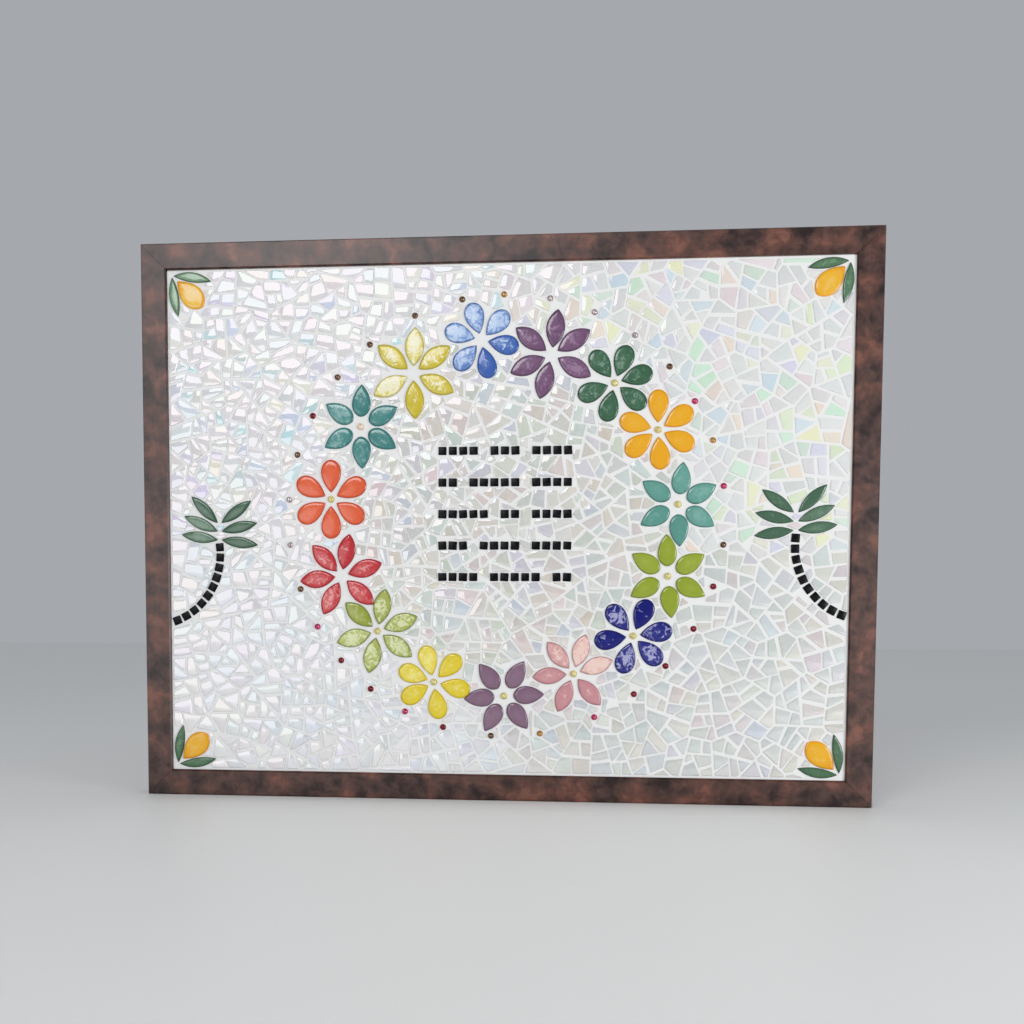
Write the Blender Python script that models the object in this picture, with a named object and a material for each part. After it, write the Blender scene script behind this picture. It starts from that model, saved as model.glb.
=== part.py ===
# Framed mosaic wall panel: four mitred rails round a board, and on the board ceramic flowers, palms
# and lemons that stand in a bed of grout.
# Metres. X runs along the panel, Y into the wall and Z up. The origin is the middle of the top
# rail's back face, where the wall holds the panel. Places in the picture are measured from the
# picture's middle, as seen from the front.
import math

import bmesh
import bpy
from mathutils import Matrix, Vector

PANEL_NAME = "mosaic_panel"
TOUCH_GAP = 0.0003  # left between two pieces that touch

# Depths, from the wall outwards
BACK_RECESS = 0.0047  # the board lies this far inside the back of the frame
BOARD_THICKNESS = 0.009
GROUT_THICKNESS = 0.004
LIP_PROUD = 0.002  # the frame's face stands this far in front of the grout
CERAMIC_PROUD = 0.0005  # so does the edge of each ceramic piece
CERAMIC_DOME = 0.0009  # rise of a ceramic piece from its edge to its middle
TILE_PROUD = 0.0006  # the small black tiles stand this far in front of the grout
DAB_THICKNESS = 0.001  # adhesive under the middle of a flower

# Frame rails
RAIL_FACE = 0.016
RABBET_WIDTH = 0.006
EDGE_EASE = 0.0008

# Ring of flowers
FLOWER_RADIUS = 0.0261
FLOWER_NESTING = 0.845  # neighbours' distance over two radii: their petals pass each other
FIRST_BEARING = 124.8
DAB_RADIUS = 0.0078
RING_OFF_CENTRE = (0.0013, 0.0014)

# Beads
CENTRE_BEAD_RADIUS = 0.0023
CENTRE_BEAD_JOINT = 0.0019  # grout between the bead and the petals' inner ends
RING_BEAD_RADIUS = 0.002
RING_BEAD_BEARINGS = (
    8, 20, 31, 42, 54, 66, 78, 90, 101, 114, 128, 140, 152, 163, 175,
    187, 199, 210, 221, 232, 243, 254, 267, 280, 295, 307, 318, 330, 342, 353,
)
RING_BEAD_RISE = 0.0012  # their circle's centre lies this far above the flowers' centre
RING_BEAD_STAND_OFF = 0.0019  # from the circle round the flowers to the beads' centres
RING_BEAD_SINK = 0.0003

# Field of the picture outside the ring of beads
TOP_MARGIN = 0.0214
SIDE_MARGIN = 0.0749

# Small square tiles of the trunks and the strokes
TILE_SIZE = 0.0052
TILE_JOINT = 0.0012

# Palms
FROND_LENGTH = 0.0234
TRUNK_BEND = 0.045  # radius of the trunk's curve
TRUNK_TILES = 10
TRUNK_FOOT_BEARING = -68.0
TRUNK_EDGE_JOINT = 0.0007
TRUNK_FOOT_HEIGHTS = {"left": -0.0610, "right": -0.0557}
CROWN_JOINT = 0.0020

# Lemons
LEMON_LENGTH = 0.0226
SPRIG_MARGIN = 0.0011

# Rows of strokes in the middle, as the number of tiles in each stroke
STROKE_ROWS = ((4, 3, 4), (2, 5, 4), (5, 2, 4), (3, 4, 4), (4, 5, 2))
ROW_PITCH = 0.0192
ROWS_OFF_CENTRE = (0.0022, 0.0050)

# Petals, as shares of the flower's radius: where one starts, its length and width, and the powers
# that its width follows from the root and to the tip
PETAL_STYLES = {
    "almond": {"start": 0.160, "length": 0.880, "width": 0.437, "root": 0.95, "tip": 0.88},
    "round": {"start": 0.160, "length": 0.770, "width": 0.480, "root": 0.92, "tip": 0.54},
    "pointed": {"start": 0.228, "length": 0.745, "width": 0.440, "root": 0.58, "tip": 0.88},
}

# Flowers, clockwise from the upper left: name, glaze, petal style, bead, size beside the others,
# drift along the ring in degrees, shift away from the ring's middle, and the petals' bearings
FLOWERS = (
    ("pale_yellow", (0.64, 0.58, 0.10), "almond", None, 1.02, -2.8, -0.001, (87, 35, -25, -87, -152, 142)),
    ("blue", (0.13, 0.26, 0.68), "round", None, 0.95, -3.5, 0.003, (106, 46, -11, -77, -133, 163)),
    ("purple", (0.15, 0.05, 0.14), "almond", None, 1.0, -3.1, -0.003, (82, 32, -29, -105, -157, 143)),
    ("dark_green", (0.04, 0.13, 0.07), "round", "gold", 0.96, -2.2, -0.0005, (70, 17, -39, -103, -160, 126)),
    ("orange", (0.81, 0.38, 0.03), "round", "gold", 0.98, 1.1, 0.0014, (90, 31, -26, -85, -142, 164)),
    ("teal_right", (0.09, 0.30, 0.26), "pointed", "gold", 1.0, 0.1, 0.0, (83, 27, -31, -87, -151, 147)),
    ("lime", (0.30, 0.38, 0.03), "pointed", "gold", 1.0, 0.4, -0.0003, (92, 31, -28, -84, -151, 148)),
    ("navy", (0.02, 0.03, 0.22), "round", "gold", 0.98, 1.8, 0.0003, (67, 9, -45, -107, -171, 130)),
    ("pink", (0.55, 0.24, 0.28), "almond", "gold", 0.92, 2.2, -0.0026, (73, 20, -49, -112, -175, 130)),
    ("plum", (0.22, 0.14, 0.20), "pointed", "gold", 0.98, 1.7, 0.0018, (60, 3, -54, -118, -175, 128)),
    ("yellow", (0.73, 0.58, 0.03), "round", "gold", 0.95, 2.0, 0.0024, (104, 45, -14, -81, -149, 160)),
    ("leaf_green", (0.38, 0.46, 0.11), "almond", "gold", 0.98, 0.4, -0.0023, (79, 20, -36, -102, -164, 139)),
    ("red", (0.61, 0.05, 0.08), "almond", None, 0.97, 2.1, 0.0002, (79, 18, -41, -116, -173, 134)),
    ("red_orange", (0.78, 0.14, 0.05), "round", "gold", 1.0, 0.3, 0.0018, (90, 27, -33, -90, -148, 151)),
    ("teal_left", (0.08, 0.30, 0.30), "pointed", "pearl", 1.01, -1.7, -0.0008, (88, 27, -31, -88, -151, 147)),
)

# Finishes: colour, roughness and, for the metallic ones, how metallic
FINISHES = {
    "brown_wood": {"colour": (0.083, 0.044, 0.035), "roughness": 0.45},
    "board": {"colour": (0.337, 0.219, 0.127), "roughness": 0.75},
    "white_grout": {"colour": (0.75, 0.75, 0.73), "roughness": 0.6},
    "gold_bead": {"colour": (0.604, 0.434, 0.120), "roughness": 0.30, "metallic": 1.0},
    "pearl_bead": {"colour": (0.82, 0.72, 0.62), "roughness": 0.20},
    "palm_glaze": {"colour": (0.040, 0.175, 0.080), "roughness": 0.15},
    "lemon_glaze": {"colour": (0.791, 0.376, 0.020), "roughness": 0.15},
    "leaf_glaze": {"colour": (0.030, 0.140, 0.070), "roughness": 0.15},
}
PETAL_ROUGHNESS = 0.12

# Fronds, as shares of their length, and the rise of each pair, on the frame's side and the other
FROND = {"width": 0.300, "root": 0.95, "tip": 0.95, "storey": 0.225, "half_stem": 0.055}
FROND_RISES = ((8, -8), (24, 13), (45, 36))

# Lemons and their leaves, as shares of the lemon's length, in from the two edges of a corner
LEMON = {"width": 0.610, "root": 0.68, "tip": 1.00, "nipple": 0.250}
LEAF = {"length": 1.060, "back": 0.170, "belly": 0.098, "along": 0.150, "in": 0.108, "splay": 8.6}
LEAF_POWER = 0.95

BLADE_STEPS = 3  # stretches of each side of a petal, frond or leaf
LEMON_STEPS = 5
DAB_SIDES = 6
CENTRE_BEAD_SIDES = (8, 4)
RING_BEAD_SIDES = (6, 3)
CUT_MARGIN = 0.001  # cutters run this far past the faces that they cut

# What follows from the sizes above
RING_RADIUS = FLOWER_RADIUS * FLOWER_NESTING / math.sin(math.pi / len(FLOWERS))
BEAD_CIRCLE = RING_RADIUS + FLOWER_RADIUS + RING_BEAD_STAND_OFF
HALF_WIDTH = BEAD_CIRCLE + SIDE_MARGIN
HALF_HEIGHT = BEAD_CIRCLE + TOP_MARGIN
BOARD_FRONT = -BACK_RECESS - BOARD_THICKNESS
BED_BACK = BOARD_FRONT - TOUCH_GAP
GROUT_FACE = BED_BACK - GROUT_THICKNESS
CERAMIC_EDGE = GROUT_FACE - CERAMIC_PROUD
RAIL_FRONT = GROUT_FACE - LIP_PROUD
TILE_PITCH = TILE_SIZE + TILE_JOINT
MIDDLE = Vector((0, 0, -(RAIL_FACE + RABBET_WIDTH) / 2 - HALF_HEIGHT))
RING_CENTRE = Vector((RING_OFF_CENTRE[0], 0, RING_OFF_CENTRE[1]))


def bearing(angle):
    # A direction in the picture, in degrees from +X towards +Z
    return Vector((math.cos(math.radians(angle)), 0, math.sin(math.radians(angle))))


def turned(outline, angle):
    turn = Matrix.Rotation(-math.radians(angle), 3, "Y")
    return [turn @ point for point in outline]


def moved(outline, offset):
    return [point + offset for point in outline]


def mirrored(outline, side, up):
    # Mirrors an outline to the given side and height, and keeps it counter-clockwise
    flipped = [Vector((point.x * side, 0, point.z * up)) for point in outline]
    return flipped if side == up else flipped[::-1]


def blade(length, upper, lower, root, tip, steps=BLADE_STEPS):
    # Counter-clockwise outline along +X: its widths follow one power from the root and one to the tip
    peak = root / (root + tip)
    widest = peak**root * (1 - peak) ** tip
    shares = [(1 - math.cos(math.pi * step / steps)) / 2 for step in range(steps + 1)]
    halves = [share**root * (1 - share) ** tip / widest for share in shares]
    below = [Vector((share * length, 0, -lower * half)) for share, half in zip(shares, halves)]
    above = [Vector((share * length, 0, upper * half)) for share, half in zip(shares, halves)]
    return below + above[-2:0:-1]


def square_tile(length=TILE_SIZE):
    end, side = length / 2, TILE_SIZE / 2
    return [Vector((x, 0, z)) for x, z in ((-end, -side), (end, -side), (end, side), (-end, side))]


def outset(outline, distance):
    # Moves every side of an outline outwards by the same distance
    grown = []
    for index, corner in enumerate(outline):
        arriving = (corner - outline[index - 1]).normalized()
        leaving = (outline[(index + 1) % len(outline)] - corner).normalized()
        outward = Vector((arriving.z, 0, -arriving.x))
        middle = (outward + Vector((leaving.z, 0, -leaving.x))).normalized()
        grown.append(corner + middle * distance / middle.dot(outward))
    return grown


def finish(name, colour, roughness, metallic=0.0):
    material = bpy.data.materials.new(name)
    material.use_nodes = True
    shader = material.node_tree.nodes["Principled BSDF"]
    shader.inputs["Base Color"].default_value = (*colour, 1.0)
    shader.inputs["Roughness"].default_value = roughness
    shader.inputs["Metallic"].default_value = metallic
    material.diffuse_color = (*colour, 1.0)
    return material


def add_slab(mesh, outline, back, front):
    # A prism over an outline, from one depth to another; returns its front face
    base = mesh.faces.new([mesh.verts.new((point.x, back, point.z)) for point in outline])
    grown = bmesh.ops.extrude_face_region(mesh, geom=[base])["geom"]
    corners = [part for part in grown if isinstance(part, bmesh.types.BMVert)]
    bmesh.ops.translate(mesh, verts=corners, vec=(0, front - back, 0))
    return next(part for part in grown if isinstance(part, bmesh.types.BMFace))


def add_ceramic(mesh, outline):
    # One glazed piece: a prism on the board whose face rises to its middle
    face = add_slab(mesh, outline, BED_BACK, CERAMIC_EDGE)
    peak = bmesh.ops.poke(mesh, faces=[face])["verts"]
    bmesh.ops.translate(mesh, verts=peak, vec=(0, -CERAMIC_DOME, 0))


def add_ball(mesh, centre, radius, sides):
    stand = Matrix.Translation(centre) @ Matrix.Rotation(math.pi / 2, 4, "X")
    bmesh.ops.create_uvsphere(
        mesh, u_segments=sides[0], v_segments=sides[1], radius=radius, matrix=stand
    )


def place(name, mesh, collection, parent, location=(0, 0, 0), material=None):
    bmesh.ops.recalc_face_normals(mesh, faces=mesh.faces)
    data = bpy.data.meshes.new(name)
    mesh.to_mesh(data)
    mesh.free()
    piece = bpy.data.objects.new(name, data)
    piece.location = location
    piece.parent = parent
    collection.objects.link(piece)
    if material:
        data.materials.append(material)
    return piece


def place_helper(name, mesh, cutters, parent, location=(0, 0, 0)):
    # A shape that is only joined to a piece or cut from it
    helper = place(name, mesh, cutters, parent, location)
    helper.hide_render = True
    helper.display_type = "WIRE"
    return helper


def combine(piece, helper, operation):
    boolean = piece.modifiers.new(helper.name, "BOOLEAN")
    boolean.operation = operation
    boolean.object = helper
    boolean.solver = "EXACT"
    boolean.use_self = True


def slab_helper(name, outlines, back, front, cutters, parent):
    mesh = bmesh.new()
    for outline in outlines:
        add_slab(mesh, outline, back, front)
    return place_helper(name, mesh, cutters, parent)


def make_rail(name, span, distance, turn, panel, parent, material):
    # An L-shaped profile along a rail, its ends drawn in with their distance from the outer edge
    inner = RAIL_FACE - RABBET_WIDTH
    profile = (
        (0, 0),
        (0, RAIL_FRONT + EDGE_EASE),
        (EDGE_EASE, RAIL_FRONT),
        (RAIL_FACE - EDGE_EASE, RAIL_FRONT),
        (RAIL_FACE, RAIL_FRONT + EDGE_EASE),
        (RAIL_FACE, BED_BACK),
        (inner, BED_BACK),
        (inner, 0),
    )
    mitre_ease = TOUCH_GAP / math.sqrt(2)
    mesh = bmesh.new()
    start = mitre_ease - span / 2
    ends = [mesh.verts.new((start + across, depth, -across)) for across, depth in profile]
    grown = bmesh.ops.extrude_face_region(mesh, geom=[mesh.faces.new(ends)])["geom"]
    for part in grown:
        if isinstance(part, bmesh.types.BMVert):
            part.co.x = -part.co.x
    rail = place(name, mesh, panel, parent, bearing(90 - turn) * distance, material)
    rail.rotation_euler = (0, math.radians(turn), 0)


def build_frame(panel, parent):
    material = finish("brown_wood", **FINISHES["brown_wood"])
    width, height = 2 * (HALF_WIDTH + RAIL_FACE), 2 * (HALF_HEIGHT + RAIL_FACE)
    rails = (
        ("frame_top", width, height, 0),
        ("frame_right", height, width, 90),
        ("frame_bottom", width, height, 180),
        ("frame_left", height, width, 270),
    )
    for name, span, across, turn in rails:
        make_rail(name, span, across / 2, turn, panel, parent, material)


def build_board(panel, parent):
    reach = RABBET_WIDTH - TOUCH_GAP
    size = Vector((2 * (HALF_WIDTH + reach), BOARD_THICKNESS, 2 * (HALF_HEIGHT + reach)))
    mesh = bmesh.new()
    bmesh.ops.create_cube(mesh, size=1, matrix=Matrix.Diagonal((*size, 1)))
    centre = (0, -BACK_RECESS - BOARD_THICKNESS / 2, 0)
    board = finish("board", **FINISHES["board"])
    place("backing_board", mesh, panel, parent, centre, board)


def build_ceramic(name, outlines, centre, material, openings, panel, parent):
    # A piece of one or more outlines; the bed is opened for each of them
    mesh = bmesh.new()
    for outline in outlines:
        add_ceramic(mesh, moved(outline, -centre))
        openings.append(outset(outline, TOUCH_GAP))
    return place(name, mesh, panel, parent, centre, material)


def flower_centre(index, drift, shift):
    angle = FIRST_BEARING - 360 / len(FLOWERS) * index + drift
    return RING_CENTRE + bearing(angle) * (RING_RADIUS + shift)


def petal_outlines(style, size, bearings, centre):
    radius = FLOWER_RADIUS * size
    shape = PETAL_STYLES[style]
    start = max(shape["start"] * radius, CENTRE_BEAD_RADIUS + CENTRE_BEAD_JOINT)
    half = shape["width"] * radius / 2
    petal = blade(shape["length"] * radius, half, half, shape["root"], shape["tip"])
    petal = moved(petal, Vector((start, 0, 0)))
    return [moved(turned(petal, angle), centre) for angle in bearings]


def dab_disc(radius):
    return [bearing(360 / DAB_SIDES * side) * radius for side in range(DAB_SIDES)]


def build_centre_bead(name, kind, centre, openings, panel, parent, materials):
    depth = BED_BACK - DAB_THICKNESS - TOUCH_GAP - CENTRE_BEAD_RADIUS
    mesh = bmesh.new()
    add_ball(mesh, Vector((0, 0, 0)), CENTRE_BEAD_RADIUS, CENTRE_BEAD_SIDES)
    seat = centre + Vector((0, depth, 0))
    place("centre_bead_" + name, mesh, panel, parent, seat, materials[kind])
    sides = CENTRE_BEAD_SIDES[0]
    ring = [bearing(360 / sides * side) * CENTRE_BEAD_RADIUS for side in range(sides)]
    openings.append(moved(outset(ring, TOUCH_GAP), centre))


def build_flowers(openings, panel, cutters, parent):
    bead_materials = {
        kind: finish(kind + "_bead", **FINISHES[kind + "_bead"]) for kind in ("gold", "pearl")
    }
    recesses = []
    for index, (name, colour, style, bead, size, drift, shift, bearings) in enumerate(FLOWERS):
        centre = flower_centre(index, drift, shift)
        outlines = petal_outlines(style, size, bearings, centre)
        glaze = finish(name + "_glaze", colour, PETAL_ROUGHNESS)
        flower = build_ceramic("flower_" + name, outlines, centre, glaze, openings, panel, parent)
        dab = bmesh.new()
        add_slab(dab, dab_disc(DAB_RADIUS), BED_BACK, BED_BACK - DAB_THICKNESS)
        helper = place_helper("dab_" + name, dab, cutters, parent, centre)
        combine(flower, helper, "UNION")
        recesses.append(moved(dab_disc(DAB_RADIUS + TOUCH_GAP), centre))
        if bead:
            build_centre_bead(name, bead, centre, openings, panel, parent, bead_materials)
    return recesses


def trunk_tiles(side):
    # Tiles from the foot at the frame up to the crown, for the palm on the right, then mirrored
    lean = math.radians(TRUNK_FOOT_BEARING)
    foot_half = TILE_SIZE / 2 * (abs(math.cos(lean)) + abs(math.sin(lean)))
    foot_inset = TRUNK_EDGE_JOINT + foot_half
    foot = Vector((HALF_WIDTH - foot_inset, 0, TRUNK_FOOT_HEIGHTS[side]))
    middle = foot - mirrored([bearing(TRUNK_FOOT_BEARING)], -1, 1)[0] * TRUNK_BEND
    step = math.degrees(TILE_PITCH / TRUNK_BEND)
    tiles = []
    for count in range(TRUNK_TILES):
        angle = 180 - TRUNK_FOOT_BEARING - step * count
        spot = middle + bearing(angle) * TRUNK_BEND
        tiles.append((spot, angle))
    return tiles


def build_palm(side, openings, tiles, panel, parent):
    sign = 1 if side == "right" else -1
    trunk = trunk_tiles(side)
    for spot, angle in trunk:
        tiles.append(mirrored(moved(turned(square_tile(), angle), spot), sign, 1))
    half = FROND["width"] * FROND_LENGTH / 2
    frond = blade(FROND_LENGTH, half, half, FROND["root"], FROND["tip"])
    crown = trunk[-1][0] + Vector((0, 0, TILE_SIZE / 2 + CROWN_JOINT))
    glaze = finish(f"palm_{side}_glaze", **FINISHES["palm_glaze"])
    number = 0
    for storey, rises in enumerate(FROND_RISES):
        stem = crown + Vector((0, 0, FROND["storey"] * FROND_LENGTH * storey))
        for outward, rise in zip((1, -1), rises):
            number += 1
            root = stem + Vector((outward * FROND["half_stem"] * FROND_LENGTH, 0, 0))
            outline = mirrored(turned(frond, rise), outward, 1)
            outline = mirrored(moved(outline, root), sign, 1)
            centre = sum(outline, Vector()) / len(outline)
            name = f"palm_{side}_frond_{number}"
            build_ceramic(name, [outline], centre, glaze, openings, panel, parent)


def corner_outlines():
    # Lemon and two leaves, in from the lower left corner of the picture
    size = {key: share * LEMON_LENGTH for key, share in LEAF.items() if key != "splay"}
    leaf = blade(size["length"], size["belly"], size["back"], LEAF_POWER, LEAF_POWER)
    start = Vector((SPRIG_MARGIN + size["along"], 0, SPRIG_MARGIN + size["in"]))
    lying = moved(turned(leaf, LEAF["splay"]), start)
    standing = [Vector((point.z, 0, point.x)) for point in lying][::-1]
    half = LEMON["width"] * LEMON_LENGTH / 2
    lemon = blade(LEMON_LENGTH, half, half, LEMON["tip"], LEMON["root"], LEMON_STEPS)
    nipple = SPRIG_MARGIN + LEMON["nipple"] * LEMON_LENGTH
    lemon = moved(turned(lemon, 45), Vector((nipple, 0, nipple)))
    return {"lemon": lemon, "leaf_1": lying, "leaf_2": standing}


def build_corners(openings, panel, parent):
    lemon_glaze = finish("lemon_glaze", **FINISHES["lemon_glaze"])
    leaf_glaze = finish("leaf_glaze", **FINISHES["leaf_glaze"])
    to_corner = Vector((-HALF_WIDTH, 0, -HALF_HEIGHT))
    for up, height in ((1, "bottom"), (-1, "top")):
        for side, hand in ((1, "left"), (-1, "right")):
            for part, outline in corner_outlines().items():
                outline = mirrored(moved(outline, to_corner), side, up)
                centre = sum(outline, Vector()) / len(outline)
                glaze = lemon_glaze if part == "lemon" else leaf_glaze
                name = f"{part}_{height}_{hand}"
                build_ceramic(name, [outline], centre, glaze, openings, panel, parent)


def stroke_outlines():
    # Rows of straight strokes, each as long as its tiles with their joints
    outlines = []
    middle = Vector((ROWS_OFF_CENTRE[0], 0, ROWS_OFF_CENTRE[1]))
    top = ROW_PITCH * (len(STROKE_ROWS) - 1) / 2
    for row, strokes in enumerate(STROKE_ROWS):
        places = sum(strokes) + len(strokes) - 1
        left = -places * TILE_PITCH / 2
        for tiles in strokes:
            length = tiles * TILE_PITCH - TILE_JOINT
            spot = Vector((left + tiles * TILE_PITCH / 2, 0, top - ROW_PITCH * row))
            outlines.append(moved(square_tile(length), middle + spot))
            left += (tiles + 1) * TILE_PITCH
    return outlines


def build_bed(openings, recesses, tiles, panel, cutters, parent):
    size = Vector((2 * (HALF_WIDTH - TOUCH_GAP), GROUT_THICKNESS, 2 * (HALF_HEIGHT - TOUCH_GAP)))
    mesh = bmesh.new()
    centre = Matrix.Translation((0, BED_BACK - GROUT_THICKNESS / 2, 0))
    bmesh.ops.create_cube(mesh, size=1, matrix=centre @ Matrix.Diagonal((*size, 1)))
    grout = finish("white_grout", **FINISHES["white_grout"])
    bed = place("mosaic_bed", mesh, panel, parent, material=grout)

    raised = bmesh.new()
    for outline in tiles:
        add_slab(raised, outline, GROUT_FACE + CUT_MARGIN, GROUT_FACE - TILE_PROUD)
    seat = RING_CENTRE + Vector((0, GROUT_FACE + RING_BEAD_SINK, RING_BEAD_RISE))
    for angle in RING_BEAD_BEARINGS:
        spot = seat + bearing(angle) * BEAD_CIRCLE
        add_ball(raised, spot, RING_BEAD_RADIUS, RING_BEAD_SIDES)
    combine(bed, place_helper("raised_tiles", raised, cutters, parent), "UNION")

    back, front = BED_BACK + CUT_MARGIN, GROUT_FACE - CUT_MARGIN
    combine(bed, slab_helper("piece_openings", openings, back, front, cutters, parent), "DIFFERENCE")
    dab_front = BED_BACK - DAB_THICKNESS - TOUCH_GAP
    combine(bed, slab_helper("dab_recesses", recesses, back, dab_front, cutters, parent), "DIFFERENCE")


def build_panel():
    for existing in list(bpy.data.objects):
        bpy.data.objects.remove(existing, do_unlink=True)
    panel = bpy.data.collections.new(PANEL_NAME)
    cutters = bpy.data.collections.new("cutters")
    bpy.context.scene.collection.children.link(panel)
    bpy.context.scene.collection.children.link(cutters)
    middle = bpy.data.objects.new("panel_middle", None)
    middle.location = MIDDLE
    panel.objects.link(middle)

    openings = []
    tiles = stroke_outlines()
    build_frame(panel, middle)
    build_board(panel, middle)
    recesses = build_flowers(openings, panel, cutters, middle)
    for side in ("left", "right"):
        build_palm(side, openings, tiles, panel, middle)
    build_corners(openings, panel, middle)
    build_bed(openings, recesses, tiles, panel, cutters, middle)


build_panel()
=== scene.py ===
import heapq
import math
import random

import bmesh
import bpy
from mathutils import Matrix, Vector, noise


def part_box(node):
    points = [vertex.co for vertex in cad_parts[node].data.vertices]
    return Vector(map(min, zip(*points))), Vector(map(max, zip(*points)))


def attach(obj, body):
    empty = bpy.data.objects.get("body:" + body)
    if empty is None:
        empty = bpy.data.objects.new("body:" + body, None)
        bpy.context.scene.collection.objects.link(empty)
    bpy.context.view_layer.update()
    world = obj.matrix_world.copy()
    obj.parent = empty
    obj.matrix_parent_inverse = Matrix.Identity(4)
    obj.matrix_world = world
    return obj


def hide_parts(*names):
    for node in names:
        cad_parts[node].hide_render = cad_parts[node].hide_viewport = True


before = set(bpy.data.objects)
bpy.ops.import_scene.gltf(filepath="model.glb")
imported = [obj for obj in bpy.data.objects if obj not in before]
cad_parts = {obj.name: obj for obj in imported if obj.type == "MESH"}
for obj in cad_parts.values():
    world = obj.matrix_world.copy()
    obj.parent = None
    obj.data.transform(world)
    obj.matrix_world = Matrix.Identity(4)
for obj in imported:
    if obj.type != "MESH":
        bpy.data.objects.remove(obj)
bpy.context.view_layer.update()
print("frame loaded:", len(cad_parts), "nodes")

mm = 0.001

# The middle of the picture, at the wall, and how far in front of the wall things lie
railLow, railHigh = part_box("frame_top")
bedLow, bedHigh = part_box("mosaic_bed")
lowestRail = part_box("frame_bottom")[0]
pictureMiddle = Vector((0, 0, (railHigh.z + lowestRail.z) / 2))
depths = {
    "railFront": railLow.y,
    "grout": railLow.y + 2 * mm,
    "ceramicEdge": railLow.y + 1.5 * mm,
}
bedGap = 0.3 * mm  # between the mosaic's bed and the rails
halfWidth = (bedHigh.x - bedLow.x) / 2 + bedGap
halfHeight = (bedHigh.z - bedLow.z) / 2 + bedGap


def direction(degrees):
    # in the picture, from right towards up
    return Vector((math.cos(math.radians(degrees)), 0, math.sin(math.radians(degrees))))


def turned(degrees):
    # a turn in the picture, from right towards up
    return Matrix.Rotation(-math.radians(degrees), 4, "Y")


def paint(red, green, blue):
    # a colour as seen on a screen, 0 to 255, made linear
    def linear(level):
        level /= 255
        return level / 12.92 if level <= 0.04045 else ((level + 0.055) / 1.055) ** 2.4

    return (linear(red), linear(green), linear(blue), 1.0)


# Materials


class Wire:
    # one output of a node, so that shader maths reads as an expression
    def __init__(self, finish, socket):
        self.finish = finish
        self.socket = socket

    def maths(self, operation, first, second):
        return self.finish.node("ShaderNodeMath", {"operation": operation}, {0: first, 1: second})

    def __add__(self, other):
        return self.maths("ADD", self, other)

    def __radd__(self, other):
        return self.maths("ADD", other, self)

    def __sub__(self, other):
        return self.maths("SUBTRACT", self, other)

    def __rsub__(self, other):
        return self.maths("SUBTRACT", other, self)

    def __mul__(self, other):
        return self.maths("MULTIPLY", self, other)

    def __rmul__(self, other):
        return self.maths("MULTIPLY", other, self)

    def between(self, low, high):
        # 0 at low and below, 1 at high and above, smooth between them
        values = {"Value": self, "From Min": low, "From Max": high}
        return self.finish.node("ShaderNodeMapRange", {"interpolation_type": "SMOOTHSTEP"}, values)


class Finish:
    # a material on the Principled shader; what is the same all over is set on the shader's sockets
    def __init__(self, name, **constants):
        self.material = bpy.data.materials.new(name)
        self.material.use_nodes = True
        self.nodes = self.material.node_tree.nodes
        self.links = self.material.node_tree.links
        self.shader = self.nodes["Principled BSDF"]
        for socket, value in constants.items():
            self.shader.inputs[socket.replace("_", " ")].default_value = value
        self.places = self.node("ShaderNodeTexCoord", output="Object")

    def node(self, kind, settings=None, values=None, output=0):
        node = self.nodes.new(kind)
        for name, value in (settings or {}).items():
            if name == "stops":
                for place, colour in value[1:-1]:
                    node.color_ramp.elements.new(place)
                for element, (place, colour) in zip(node.color_ramp.elements, value):
                    element.position, element.color = place, colour
            else:
                setattr(node, name, value)
        for socket, value in (values or {}).items():
            self.feed(node.inputs[socket], value)
        return Wire(self, node.outputs[output])

    def feed(self, socket, value):
        if isinstance(value, Wire):
            self.links.new(value.socket, socket)
        else:
            socket.default_value = value

    def noise(self, size, detail=2.0, roughness=0.5, distortion=0.0, places=None):
        # clouds about as wide as size, in metres
        values = {"Vector": places or self.places, "Scale": 1 / size}
        values.update(Detail=detail, Roughness=roughness, Distortion=distortion)
        return self.node("ShaderNodeTexNoise", None, values)

    def stretched(self, x, y, z):
        return self.node("ShaderNodeMapping", None, {"Vector": self.places, "Scale": (x, y, z)})

    def mix(self, share, first, second, how="MIX"):
        settings = {"data_type": "RGBA", "blend_type": how}
        return self.node("ShaderNodeMix", settings, {0: share, 6: first, 7: second}, output=2)

    def ramp(self, share, stops):
        return self.node("ShaderNodeValToRGB", {"stops": stops}, {"Fac": share})

    def stored(self, name):
        # a colour that is stored on the mesh
        return self.node("ShaderNodeAttribute", {"attribute_name": name}, output="Color")

    def channels(self, colour):
        parts = self.node("ShaderNodeSeparateColor", None, {"Color": colour})
        return [Wire(self, socket) for socket in parts.socket.node.outputs]

    def finished(self, colour, roughness, height, depth):
        bump = self.node("ShaderNodeBump", None, {"Height": height, "Distance": depth})
        for socket, value in (("Base Color", colour), ("Roughness", roughness), ("Normal", bump)):
            self.feed(self.shader.inputs[socket], value)
        return self.material


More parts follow.
